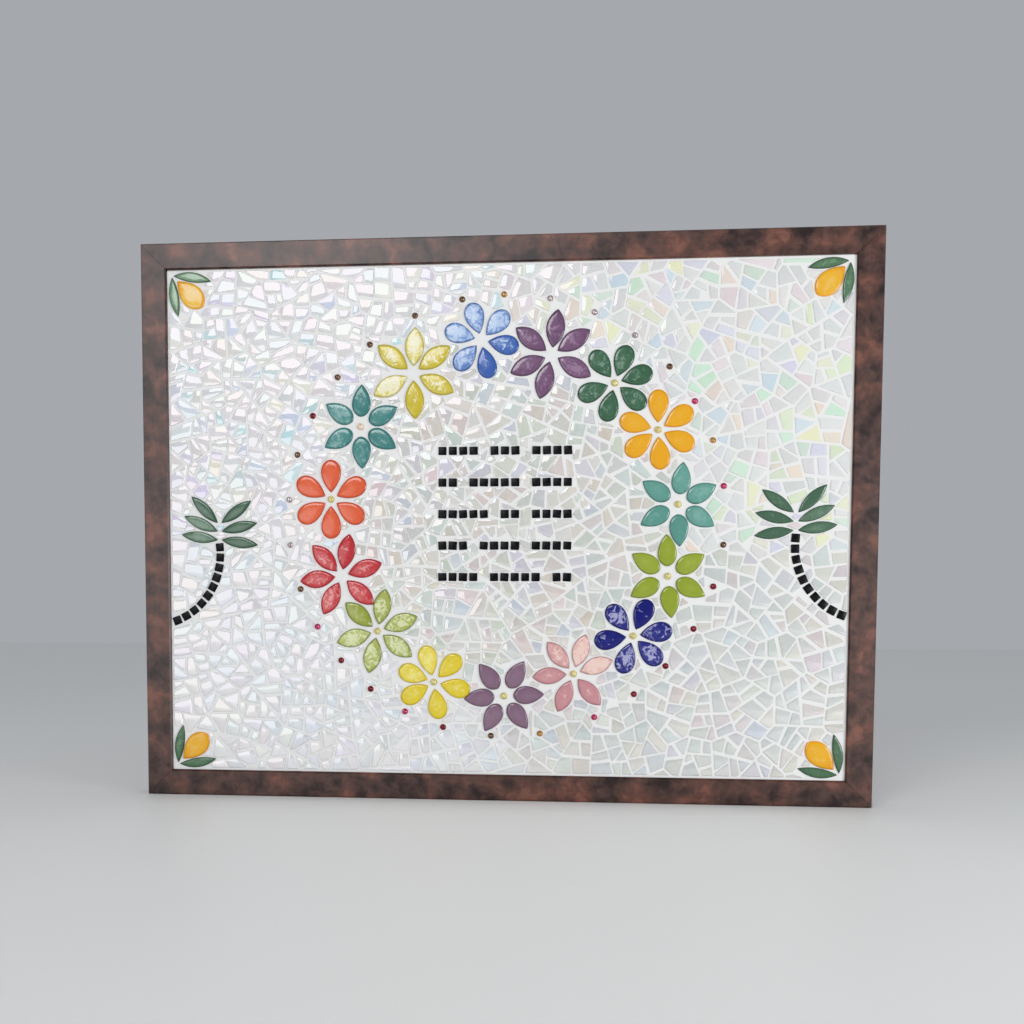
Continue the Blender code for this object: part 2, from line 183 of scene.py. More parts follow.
# Colours of each glaze: light, body, the deep one at its rim and the painted highlight of its brightest
# streaks, a painted reflection of the light; and how mottled it is, which also scales the highlights
glazes = {
    "pale_yellow": ((230, 218, 134), (202, 184, 70), (170, 156, 60), (250, 248, 226), 0.9),
    "blue": ((136, 166, 214), (76, 104, 172), (64, 88, 140), (206, 224, 246), 0.8),
    "purple": ((142, 112, 138), (114, 88, 114), (84, 62, 84), (168, 140, 166), 0.7),
    "dark_green": ((98, 132, 108), (74, 104, 84), (54, 78, 62), (136, 158, 142), 0.8),
    "orange": ((238, 184, 80), (230, 168, 54), (206, 136, 44), (246, 204, 120), 0.15),
    "teal_right": ((122, 172, 160), (98, 148, 138), (74, 116, 110), (176, 206, 198), 0.2),
    "lime": ((166, 180, 90), (146, 160, 66), (118, 132, 60), (190, 202, 130), 0.1),
    "navy": ((76, 78, 146), (48, 50, 114), (40, 42, 90), (206, 206, 236), 0.7),
    "pink": ((232, 194, 184), (196, 142, 148), (158, 110, 114), (246, 222, 212), 0.7),
    "plum": ((150, 126, 144), (132, 106, 124), (102, 84, 100), (168, 148, 162), 0.15),
    "yellow": ((240, 226, 112), (222, 200, 66), (190, 164, 52), (250, 242, 176), 0.5),
    "leaf_green": ((190, 196, 124), (152, 162, 76), (104, 120, 66), (222, 228, 184), 1.0),
    "red": ((214, 104, 104), (190, 68, 72), (146, 52, 62), (236, 170, 170), 0.7),
    "red_orange": ((236, 126, 92), (222, 104, 74), (182, 80, 66), (244, 156, 128), 0.15),
    "teal_left": ((106, 158, 154), (78, 130, 128), (62, 108, 108), (196, 218, 216), 0.35),
    "palm": ((114, 138, 118), (82, 108, 90), (52, 74, 60), (140, 166, 148), 0.35),
    "lemon": ((242, 196, 84), (230, 174, 58), (222, 146, 46), (252, 226, 172), 0.25),
    "leaf": ((118, 148, 118), (84, 112, 88), (52, 72, 60), (134, 164, 136), 0.5),
}
glazeLook = {
    "mottle": 3.2 * mm,
    "fleck": 0.7 * mm,
    "streak": 4.5 * mm,
    "ripple": 2.6 * mm,
    "rippleDepth": 0.05 * mm,
    # how strongly each shows
    "shade": 0.22,
    "rim": 0.8,
    "flecks": 0.12,
    # painted highlight: how strongly the painted light streaks show
    "streaks": 0.85,
    "lemonTip": 0.7,
}


def makeGlaze(name):
    # glaze that pools thin and light in the middle and deep at the rim, with painted highlight streaks;
    # the mesh holds how near the rim a point is, how light its piece is (its own tone and painted
    # glare), and where along the piece it lies
    *colours, mottleAndHighlight = glazes[name]
    light, body, deep, paintedHighlight = (paint(*colour) for colour in colours)
    finish = Finish(name + "_glaze", Coat_Weight=0.15, Coat_Roughness=0.06, IOR=1.5)
    rim, toneAndGlare, along = finish.channels(finish.stored("glaze"))
    clouds = finish.noise(glazeLook["mottle"], 3.0, 0.55, 0.4)
    flecks = finish.noise(glazeLook["fleck"], 2.0, 0.6)
    streaks = finish.noise(glazeLook["streak"], 2.0, 0.55, 1.6)
    shade = rim * glazeLook["shade"]
    lightness = (toneAndGlare + (clouds - 0.5) * mottleAndHighlight - shade).between(0.12, 0.88)
    colour = finish.mix(lightness, body, light)
    if name == "lemon":
        tip = (1 - along).between(0.55, 1.0)
        colour = finish.mix(tip * glazeLook["lemonTip"], colour, deep)
    # painted highlight: light streaks in the highlight colour stand in for reflections of the light,
    # stronger on lighter pieces and weaker near the rim
    paintedHighlightMask = (streaks + toneAndGlare * 0.38 - shade).between(0.60, 0.74)
    colour = finish.mix(paintedHighlightMask * (glazeLook["streaks"] * mottleAndHighlight), colour, paintedHighlight)
    edge = (rim + (clouds - 0.5) * 0.25).between(0.80, 1.02)
    colour = finish.mix(edge * glazeLook["rim"], colour, deep)
    colour = finish.mix(flecks.between(0.50, 0.70) * glazeLook["flecks"], colour, deep)
    ripples = finish.noise(glazeLook["ripple"], 1.5, 0.5, 0.6)
    return finish.finished(colour, 0.10 + clouds * 0.10, ripples, glazeLook["rippleDepth"])


glassLook = {
    # each batch of glass: the thickness of its iridescent film in nanometres, and how wavy it is
    "batches": (
        (250, 0.03 * mm), (300, 0.10 * mm), (325, 0.04 * mm),
        (350, 0.12 * mm), (372, 0.03 * mm), (500, 0.05 * mm),
    ),
    "filmIndex": 1.64,
    "skinIndex": 2.7,  # of the bright skin over the film
    "streak": 5.0 * mm,
    "seed": 2.2 * mm,
    "milk": paint(232, 232, 228),
    "smoke": paint(196, 198, 200),
}


def makeGlass(number, film, waviness):
    finish = Finish(
        f"iridescent_glass_{number}",
        IOR=1.52,
        Thin_Film_Thickness=film,
        Thin_Film_IOR=glassLook["filmIndex"],
        Coat_Weight=1.0,
        Coat_IOR=glassLook["skinIndex"],
        Coat_Roughness=0.03,
    )
    streaks = finish.noise(glassLook["streak"], 2.5, 0.6, 1.2)
    clouds = finish.noise(glassLook["seed"], 3.0, 0.6, 0.3)
    milky = finish.mix(clouds.between(0.4, 0.8) * 0.35, finish.stored("tint"), glassLook["milk"])
    smoky = finish.mix(streaks.between(0.5, 0.8) * 0.25, milky, glassLook["smoke"])
    return finish.finished(smoky, 0.06 + clouds * 0.10, streaks, waviness)


groutLook = {
    "grain": 0.35 * mm,
    "stain": 14 * mm,
    "white": paint(235, 235, 234),
    "stained": paint(210, 210, 209),
    "dusty": paint(190, 190, 188),
    "roughDepth": 0.12 * mm,
}


def makeGrout():
    finish = Finish("white_grout", IOR=1.45)
    grains = finish.noise(groutLook["grain"], 3.0, 0.65)
    stains = finish.noise(groutLook["stain"], 3.0, 0.6, 0.5)
    colour = finish.mix(stains.between(0.45, 0.75) * 0.30, groutLook["white"], groutLook["stained"])
    colour = finish.mix(grains.between(0.5, 0.8) * 0.15, colour, groutLook["dusty"])
    return finish.finished(colour, 0.55 + grains * 0.35, grains + stains * 0.5, groutLook["roughDepth"])


blackLook = {
    "cloud": 1.8 * mm,
    "black": paint(18, 18, 20),
    "grey": paint(44, 44, 46),
    "pitDepth": 0.08 * mm,
}


def makeBlackGlaze():
    finish = Finish("black_glaze", IOR=1.45)
    clouds = finish.noise(blackLook["cloud"], 3.0, 0.6)
    colour = finish.mix(clouds.between(0.4, 0.75), blackLook["black"], blackLook["grey"])
    return finish.finished(colour, 0.30 + clouds * 0.25, clouds, blackLook["pitDepth"])


# Light and deep colour of each bead, how metallic it is and how rough
beadLooks = {
    "gold": ((228, 219, 162), (198, 182, 116), 0.20, 0.34),
    "pearl": ((244, 232, 214), (214, 180, 150), 0.15, 0.18),
    "garnet": ((150, 62, 70), (92, 30, 38), 0.45, 0.16),
    "bronze": ((150, 124, 104), (84, 62, 52), 0.75, 0.16),
    "rose": ((206, 96, 128), (160, 44, 84), 0.45, 0.16),
    "amber": ((214, 176, 128), (158, 112, 62), 0.6, 0.16),
    "crystal": ((216, 206, 206), (150, 134, 138), 0.6, 0.10),
}
beadClouds = {"size": 1.2 * mm, "depth": 0.04 * mm}


def makeBead(name):
    light, deep, metallic, roughness = beadLooks[name]
    finish = Finish(name + "_bead", Metallic=metallic, Coat_Weight=0.5, Coat_Roughness=0.04)
    clouds = finish.noise(beadClouds["size"], 3.0, 0.55)
    colour = finish.mix(clouds.between(0.35, 0.65), paint(*deep), paint(*light))
    return finish.finished(colour, roughness + (clouds - 0.5) * 0.1, clouds, beadClouds["depth"])


railLook = {
    "blotch": 19 * mm,
    "patch": 7 * mm,
    "grain": 1.1 * mm,
    "browns": (
        (0.38, paint(45, 34, 33)),
        (0.45, paint(68, 51, 47)),
        (0.50, paint(82, 60, 54)),
        (0.56, paint(101, 68, 59)),
        (0.62, paint(126, 84, 71)),
    ),
    "haze": paint(80, 69, 66),
    "pores": paint(52, 38, 34),
    "grainRun": 0.06,  # the grain is drawn out lengthwise by the inverse of this
    "unevenDepth": 0.10 * mm,
}


def makeRailWood(name, lengthwise):
    # mottled brown varnish; the fine grain runs along the rail
    finish = Finish(name, Coat_Weight=0.8, Coat_Roughness=0.36, IOR=1.45)
    blotches = finish.noise(railLook["blotch"], 3.0, 0.55, 0.3)
    patches = finish.noise(railLook["patch"], 4.0, 0.6, 0.5)
    run = railLook["grainRun"]
    along = (run, 1, 1) if lengthwise == "X" else (1, 1, run)
    grain = finish.noise(railLook["grain"], 4.0, 0.65, 0.2, finish.stretched(*along))
    colour = finish.ramp(blotches * 0.62 + patches * 0.38, railLook["browns"])
    colour = finish.mix(patches.between(0.5, 0.7) * 0.35, colour, railLook["haze"])
    colour = finish.mix(grain.between(0.45, 0.80) * 0.30, colour, railLook["pores"])
    height = grain * 0.6 + patches * 0.4
    return finish.finished(colour, 0.38 + patches * 0.22, height, railLook["unevenDepth"])


boardLook = {
    "fibre": 1.6 * mm,
    "fibreRun": 0.35,
    "cloud": 38 * mm,
    "browns": (paint(142, 112, 80), paint(160, 130, 96)),
    "fibres": paint(104, 78, 54),
    "fibreDepth": 0.15 * mm,
}


def makeBoard():
    finish = Finish("board", IOR=1.45)
    drawn = finish.stretched(boardLook["fibreRun"], 1, 1)
    fibres = finish.noise(boardLook["fibre"], 5.0, 0.7, 0.4, drawn)
    clouds = finish.noise(boardLook["cloud"], 3.0, 0.55)
    colour = finish.mix(clouds.between(0.3, 0.7), *boardLook["browns"])
    colour = finish.mix(fibres.between(0.45, 0.75) * 0.5, colour, boardLook["fibres"])
    return finish.finished(colour, 0.68 + fibres * 0.2, fibres, boardLook["fibreDepth"])


print("materials ready")


# Shapes that more than one piece uses

ceramics = {
    # corners of the outline, corners of the hurdle that it is to the glass, the joint round it, and
    # how far it domes
    "petal": (28, 14, 1.3 * mm, 0.9 * mm),
    "frond": (24, 12, 1.0 * mm, 0.8 * mm),
    "lemon": (32, 14, 1.0 * mm, 0.9 * mm),
    "leaf": (24, 14, 1.0 * mm, 0.8 * mm),
}
ceramicSink = 0.8 * mm  # how deep they reach into the grout
# shares of the outline and of the dome's height, from the rim to near the middle
domeRings = ((1, 0), (0.985, 0.17), (0.95, 0.42), (0.89, 0.66), (0.80, 0.83), (0.66, 0.94), (0.45, 0.985))
mergeWithin = 0.02 * mm
hurdles = []  # outlines that the broken glass has to leave free, and the joint round each


def blade(length, upper, lower, root, tip, start=0):
    return {"start": start, "length": length, "upper": upper, "lower": lower, "root": root, "tip": tip}


def drawnBlade(bm, size, corners):
    # a round disc drawn out to a blade along +X, whose widths follow one power from the root and
    # one to the tip; it lies in the picture and faces the room
    root, tip = size["root"], size["tip"]
    peak = root / (root + tip)
    widest = peak**root * (1 - peak) ** tip
    disc = bmesh.ops.create_circle(bm, cap_ends=True, segments=corners, radius=1)["verts"]
    for vert in disc:
        share = min(max((1 + vert.co.x) / 2, 0), 1)
        half = share**root * (1 - share) ** tip / widest
        across = size["upper"] if vert.co.y > 0 else -size["lower"]
        vert.co = Vector((size["start"] + share * size["length"], 0, half * across))
    bmesh.ops.remove_doubles(bm, verts=disc, dist=mergeWithin)
    return [vert for vert in disc if vert.is_valid]


def outlineOf(size, corners, place):
    # corners of a blade where it lies in the picture
    bm = bmesh.new()
    drawnBlade(bm, size, corners)
    face = next(iter(bm.faces))
    spots = [place @ corner.vert.co for corner in face.loops]
    bm.free()
    return spots


def addCeramic(bm, kind, size, place, toneAndGlare):
    # one glazed piece, from inside the grout to its domed face
    corners, hurdleCorners, joint, dome = ceramics[kind]
    glazed = bm.verts.layers.float_color["glaze"]
    before = set(bm.verts)
    outline = drawnBlade(bm, size, corners)
    face = outline[0].link_faces[0]
    centre = face.calc_center_median()
    space = Matrix.Translation((-centre.x, 0, -centre.z))

    def settle(verts, rim, depth):
        for vert in verts:
            vert.co.y = depth
            vert[glazed] = (rim, toneAndGlare, (vert.co.x - size["start"]) / size["length"], 1)

    settle(outline, 1, depths["grout"] + ceramicSink)
    last = 1.0
    for share, height in domeRings:
        face = bmesh.ops.extrude_discrete_faces(bm, faces=[face])["faces"][0]
        around = list(face.verts)
        bmesh.ops.scale(bm, vec=(share / last, 1, share / last), space=space, verts=around)
        settle(around, share, depths["ceramicEdge"] - height * dome)
        last = share
    settle(bmesh.ops.poke(bm, faces=[face])["verts"], 0, depths["ceramicEdge"] - dome)
    for vert in set(bm.verts) - before:
        vert.co = place @ vert.co
    hurdles.append((outlineOf(size, hurdleCorners, place), joint))


def newMesh():
    bm = bmesh.new()
    bm.verts.layers.float_color.new("glaze")
    return bm


def meshFrom(name, bm):
    data = bpy.data.meshes.new(name)
    bm.to_mesh(data)
    bm.free()
    return data


def newObject(name, data):
    thing = bpy.data.objects.new(name, data)
    bpy.context.scene.collection.objects.link(thing)
    return thing


def finishPiece(name, bm, materials, slot, replaced, smooth=40):
    bmesh.ops.recalc_face_normals(bm, faces=bm.faces)
    data = meshFrom(name, bm)
    for material in materials:
        data.materials.append(material)
    data.shade_smooth()
    data.set_sharp_from_angle(angle=math.radians(smooth))
    piece = newObject(name, data)
    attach(piece, "root")
    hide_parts(replaced)


def placeAt(spot, degrees=0):
    return Matrix.Translation(pictureMiddle + Vector((spot.x, 0, spot.z))) @ turned(degrees)


# Flowers

ring = {
    "flowerRadius": 26.1 * mm,
    "nesting": 0.845,  # below 1, neighbours reach between each other's petals
    "firstBearing": 124.8,
    "middle": Vector((1.3 * mm, 0, 1.4 * mm)),
    "beadJoint": 4.2 * mm,
    "beadStandOff": 1.9 * mm,
    "beadSides": 20,
    "bareMiddle": 0.42,  # the glass stays out of the flower's middle, up to this share of a petal
}
petalStyles = {
    "almond": {"start": 0.160, "length": 0.880, "width": 0.437, "root": 0.95, "tip": 0.88},
    "round": {"start": 0.160, "length": 0.770, "width": 0.480, "root": 0.92, "tip": 0.54},
    "pointed": {"start": 0.228, "length": 0.745, "width": 0.440, "root": 0.58, "tip": 0.88},
}
# clockwise from the upper left: style, bead, size, drift in degrees, shift outwards in mm; the petals'
# bearings, and how light each petal is, in tenths: partly its own tone and partly painted glare on the
# petals that face the light, which also get more painted highlight
flowers = {
    "pale_yellow": ("almond", None, 1.02, -2.8, -1.0, (87, 35, -25, -87, -152, 142), (9, 5, 5, 3, 9, 5)),
    "blue": ("round", None, 0.95, -3.5, 3.0, (106, 46, -11, -77, -133, 163), (8, 9, 4, 2, 7, 9)),
    "purple": ("almond", None, 1.00, -3.1, -3.0, (82, 32, -29, -105, -157, 143), (4, 5, 6, 5, 5, 5)),
    "dark_green": ("round", "gold", 0.96, -2.2, -0.5, (70, 17, -39, -103, -160, 126), (5, 4, 5, 4, 5, 5)),
    "orange": ("round", "gold", 0.98, 1.1, 1.4, (90, 31, -26, -85, -142, 164), (4, 4, 4, 3, 4, 5)),
    "teal_right": ("pointed", "gold", 1.00, 0.1, 0.0, (83, 27, -31, -87, -151, 147), (6, 6, 6, 3, 4, 5)),
    "lime": ("pointed", "gold", 1.00, 0.4, -0.3, (92, 31, -28, -84, -151, 148), (4, 5, 4, 3, 4, 5)),
    "navy": ("round", "gold", 0.98, 1.8, 0.3, (67, 9, -45, -107, -171, 130), (2, 6, 7, 7, 4, 6)),
    "pink": ("almond", "gold", 0.92, 2.2, -2.6, (73, 20, -49, -112, -175, 130), (9, 9, 3, 3, 4, 6)),
    "plum": ("pointed", "gold", 0.98, 1.7, 1.8, (60, 3, -54, -118, -175, 128), (5, 4, 4, 5, 4, 4)),
    "yellow": ("round", "gold", 0.95, 2.0, 2.4, (104, 45, -14, -81, -149, 160), (7, 4, 4, 4, 4, 6)),
    "leaf_green": ("almond", "gold", 0.98, 0.4, -2.3, (79, 20, -36, -102, -164, 139), (6, 7, 7, 7, 8, 4)),
    "red": ("almond", None, 0.97, 2.1, 0.2, (79, 18, -41, -116, -173, 134), (3, 5, 6, 6, 5, 5)),
    "red_orange": ("round", "gold", 1.00, 0.3, 1.8, (90, 27, -33, -90, -148, 151), (4, 4, 4, 4, 5, 4)),
    "teal_left": ("pointed", "pearl", 1.01, -1.7, -0.8, (88, 27, -31, -88, -151, 147), (4, 5, 4, 5, 6, 7)),
}
ringRadius = ring["flowerRadius"] * ring["nesting"] / math.sin(math.pi / len(flowers))
beadCircle = ringRadius + ring["flowerRadius"] + ring["beadStandOff"]


def flowerCentre(index, drift, shift):
    angle = ring["firstBearing"] - 360 / len(flowers) * index + drift
    return ring["middle"] + direction(angle) * (ringRadius + shift * mm)


def petalSize(style, size):
    radius = ring["flowerRadius"] * size
    shape = petalStyles[style]
    half = shape["width"] * radius / 2
    start = max(shape["start"] * radius, ring["beadJoint"])
    return blade(shape["length"] * radius, half, half, shape["root"], shape["tip"], start)


def addBall(bm, centre, radius, sides):
    # its poles point at the room and at the wall
    stand = Matrix.Translation(centre) @ Matrix.Rotation(math.pi / 2, 4, "X")
    bmesh.ops.create_uvsphere(bm, u_segments=sides, v_segments=sides // 2, radius=radius, matrix=stand)


def makeCentreBead(name, kind, beadMaterials):
    low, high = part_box("centre_bead_" + name)
    bm = newMesh()
    addBall(bm, (low + high) / 2, (high.x - low.x) / 2, ring["beadSides"])
    finishPiece("bead_" + name, bm, [beadMaterials[kind]], kind + "_bead", "centre_bead_" + name)


def makeFlowers(beadMaterials):
    for index, (name, flower) in enumerate(flowers.items()):
        style, bead, size, drift, shift, bearings, tones = flower
        centre = flowerCentre(index, drift, shift)
        shape = petalSize(style, size)
        bm = newMesh()
        for angle, toneAndGlare in zip(bearings, tones):
            addCeramic(bm, "petal", shape, placeAt(centre, angle), toneAndGlare / 10)
        reach = shape["start"] + ring["bareMiddle"] * shape["length"]
        middle = [pictureMiddle + centre + direction(30 * side) * reach for side in range(12)]
        hurdles.append((middle, 0))
        finishPiece("petals_" + name, bm, [makeGlaze(name)], name + "_glaze", "flower_" + name)
        if bead:
            makeCentreBead(name, bead, beadMaterials)


# Black squares, of the trunks and the strokes

square = {
    "side": 5.2 * mm,
    "joint": 1.2 * mm,
    "cut": (0.93, 1.0),  # each is cut to between these shares of the side
    "top": 0.6 * mm,
    "unevenTop": 0.25 * mm,
    "sink": 0.8 * mm,
    "softEdge": 0.35 * mm,
    "askew": (2, 4),
    "gap": 0.8 * mm,
}
squarePitch = square["side"] + square["joint"]


def addSquare(bm, place, chance):
    # one small glazed square, a little uneven, with soft edges
    high = square["side"] * chance.uniform(*square["cut"])
    wide = square["side"] * chance.uniform(*square["cut"])
    top = depths["grout"] - square["top"] - chance.uniform(0, square["unevenTop"])
    bottom = depths["grout"] + square["sink"]
    lift = Matrix.Translation((0, (bottom + top) / 2, 0))
    for axis, most in zip("XY", square["askew"]):
        lift = lift @ Matrix.Rotation(math.radians(chance.uniform(-most, most)), 4, axis)
    stretch = Matrix.Diagonal((wide, bottom - top, high, 1))
    cube = bmesh.ops.create_cube(bm, size=1, matrix=place @ lift @ stretch)["verts"]
    edges = list({edge for vert in cube for edge in vert.link_edges})
    bmesh.ops.bevel(
        bm, geom=edges, offset=square["softEdge"], offset_type="OFFSET",
        affect="EDGES", segments=2, profile=0.5, material=-1,
    )


def oblong(x, z):
    return [Vector(corner) for corner in ((-x, 0, -z), (x, 0, -z), (x, 0, z), (-x, 0, z))]


def squareHurdle(place, length):
    hurdle = [place @ corner for corner in oblong(length / 2, square["side"] / 2)]
    hurdles.append((hurdle, square["gap"]))


# Palms, lemons and leaves

palm = {
    "seed": 20,
    "frond": 23.4 * mm,
    "width": 0.300,
    "power": 0.95,
    "storey": 0.225,
    "halfStem": 0.055,
    "rises": ((8, -8), (24, 13), (45, 36)),
    "tones": (0.5, 0.3, 0.6, 0.3, 0.2, 0.4),
    # painted glare: the left palm's outer fronds are painted lighter, where the light falls on them
    "lit": 0.15,  # the left palm's outer fronds are this much lighter
    "bend": 45 * mm,
    "squares": 10,
    "footBearing": -68.0,
    "footEdgeJoint": 0.7 * mm,
    "footHeights": {"left": -61.0 * mm, "right": -55.7 * mm},
    "crownJoint": 2.0 * mm,
}


def trunkSpots(side):
    # middles and turns of a trunk's squares, from the foot to the crown, for a palm on the right
    lean = math.radians(palm["footBearing"])
    footHalf = square["side"] / 2 * (abs(math.cos(lean)) + abs(math.sin(lean)))
    foot = Vector((halfWidth - palm["footEdgeJoint"] - footHalf, 0, palm["footHeights"][side]))
    back = direction(180 - palm["footBearing"])
    middle = foot - back * palm["bend"]
    step = math.degrees(squarePitch / palm["bend"])
    angles = [180 - palm["footBearing"] - step * count for count in range(palm["squares"])]
    return [(middle + direction(angle) * palm["bend"], angle) for angle in angles]


def mirrorPlace(side, up=1):
    about = Matrix.Translation(pictureMiddle)
    return about @ Matrix.Diagonal((side, 1, up, 1)) @ about.inverted()


def makePalms(blackGlaze):
    glaze = makeGlaze("palm")
    half = palm["width"] * palm["frond"] / 2
    frond = blade(palm["frond"], half, half, palm["power"], palm["power"])
    for side, sign in (("left", -1), ("right", 1)):
        chance = random.Random(palm["seed"] + sign)
        mirror = mirrorPlace(sign)
        trunk = trunkSpots(side)
        bm = newMesh()
        for spot, angle in trunk:
            place = mirror @ placeAt(spot, angle)
            addSquare(bm, place, chance)
            squareHurdle(place, square["side"])
        finishPiece("trunk_" + side, bm, [blackGlaze], "black_glaze", "mosaic_bed")
        crown = trunk[-1][0] + Vector((0, 0, square["side"] / 2 + palm["crownJoint"]))
        number = 0
        for storey, rises in enumerate(palm["rises"]):
            stem = crown + Vector((0, 0, palm["storey"] * palm["frond"] * storey))
            for outward, rise in zip((1, -1), rises):
                number += 1
                root = stem + Vector((outward * palm["halfStem"] * palm["frond"], 0, 0))
                turn = Matrix.Diagonal((outward, 1, 1, 1)) @ turned(rise)
                toneAndGlare = palm["tones"][number - 1] + (palm["lit"] if side == "left" and outward > 0 else 0)
                bm = newMesh()
                addCeramic(bm, "frond", frond, mirror @ placeAt(root) @ turn, toneAndGlare)
                name = f"{side}_{number}"
                finishPiece("frond_" + name, bm, [glaze], "palm_glaze", f"palm_{side}_frond_{number}")


lemon = {
    "length": 22.6 * mm,
    "width": 0.610,
    "root": 0.68,
    "tip": 1.00,
    "nipple": 0.250,
    "margin": 1.1 * mm,
    "leafLength": 1.060,
    "leafBack": 0.170,
    "leafBelly": 0.098,
    "leafAlong": 0.150,
    "leafIn": 0.108,
    "leafSplay": 8.6,
    "leafPower": 0.95,
    # painted glare: the top left lemon and its leaves are painted lighter than the others, where the light
    # falls
    "tones": {"bottom_left": 0.45, "bottom_right": 0.35, "top_left": 0.85, "top_right": 0.5},
}


def makeCorners():
    long = lemon["length"]
    half = lemon["width"] * long / 2
    fruit = blade(long, half, half, lemon["tip"], lemon["root"])
    back, belly, power = lemon["leafBack"] * long, lemon["leafBelly"] * long, lemon["leafPower"]
    leaf = blade(lemon["leafLength"] * long, belly, back, power, power)
    margin = lemon["margin"]
    nipple = margin + lemon["nipple"] * long
    start = Vector((margin + lemon["leafAlong"] * long, 0, margin + lemon["leafIn"] * long))
    corner = Vector((-halfWidth, 0, -halfHeight))
    swap = Matrix(((0, 0, 1, 0), (0, 1, 0, 0), (1, 0, 0, 0), (0, 0, 0, 1)))
    atCorner = Matrix.Translation(pictureMiddle + corner)
    lying = Matrix.Translation(start) @ turned(lemon["leafSplay"])
    parts = {
        "lemon": Matrix.Translation((nipple, 0, nipple)) @ turned(45),
        "leaf_1": lying,
        "leaf_2": swap @ lying,
    }
    glazed = {"lemon": (fruit, makeGlaze("lemon")), "leaf": (leaf, makeGlaze("leaf"))}
    for height, up in (("bottom", 1), ("top", -1)):
        for hand, side in (("left", 1), ("right", -1)):
            mirror = mirrorPlace(side, up) @ atCorner
            for part, place in parts.items():
                kind = part.split("_")[0]
                size, glaze = glazed[kind]
                bm = newMesh()
                addCeramic(bm, kind, size, mirror @ place, lemon["tones"][f"{height}_{hand}"])
                name = f"{part}_{height}_{hand}"
                finishPiece("glazed_" + name, bm, [glaze], kind + "_glaze", name)


# Rows of strokes in the middle, as the number of squares in each

strokes = {
    "seed": 7,
    "rows": ((4, 3, 4), (2, 5, 4), (5, 2, 4), (3, 4, 4), (4, 5, 2)),
    "pitch": 19.2 * mm,
    "middle": Vector((2.2 * mm, 0, 5.0 * mm)),
}


def makeStrokes(blackGlaze):
    chance = random.Random(strokes["seed"])
    bm = newMesh()
    top = strokes["pitch"] * (len(strokes["rows"]) - 1) / 2
    for row, lengths in enumerate(strokes["rows"]):
        left = -(sum(lengths) + len(lengths) - 1) * squarePitch / 2
        height = top - strokes["pitch"] * row
        for squares in lengths:
            for count in range(squares):
                spot = strokes["middle"] + Vector((left + (count + 0.5) * squarePitch, 0, height))
                addSquare(bm, placeAt(spot), chance)
            middle = strokes["middle"] + Vector((left + squares * squarePitch / 2, 0, height))
            squareHurdle(placeAt(middle), squares * squarePitch - square["joint"])
            left += (squares + 1) * squarePitch
    finishPiece("stroke_squares", bm, [blackGlaze], "black_glaze", "mosaic_bed")


# Small beads round the flowers

ringBeads = {
    "radius": 2.0 * mm,
    "sides": 16,
    "sink": 0.3 * mm,
    "gap": 1.1 * mm,
    "rise": 1.2 * mm,  # their circle's centre lies this far above the flowers' centre
    # bearings of each kind, from the right towards the top
    "places": {
        "rose": (8, 31, 210, 243, 295),
        "amber": (20, 90, 280),
        "bronze": (42, 101, 114, 128, 140, 163, 199, 267, 353),
        "crystal": (54, 66, 78, 175, 187),
        "garnet": (152, 221, 232, 254, 307, 318, 330, 342),
    },
}


def makeRingBeads(beadMaterials):
    kinds = sorted(ringBeads["places"])
    beads = sorted((angle, kind) for kind in kinds for angle in ringBeads["places"][kind])
    seat = pictureMiddle + ring["middle"] + Vector((0, 0, ringBeads["rise"]))
    bm = newMesh()
    for angle, kind in beads:
        spot = seat + direction(angle) * beadCircle
        before = set(bm.faces)
        centre = spot + Vector((0, depths["grout"] + ringBeads["sink"], 0))
        addBall(bm, centre, ringBeads["radius"], ringBeads["sides"])
        for face in set(bm.faces) - before:
            face.material_index = kinds.index(kind)
        rim = [spot + direction(45 * side) * ringBeads["radius"] for side in range(8)]
        hurdles.append((rim, ringBeads["gap"]))
    materials = [beadMaterials[kind] for kind in kinds]
    finishPiece("ring_beads", bm, materials, "red_bead", "mosaic_bed")


# Broken glass of the field

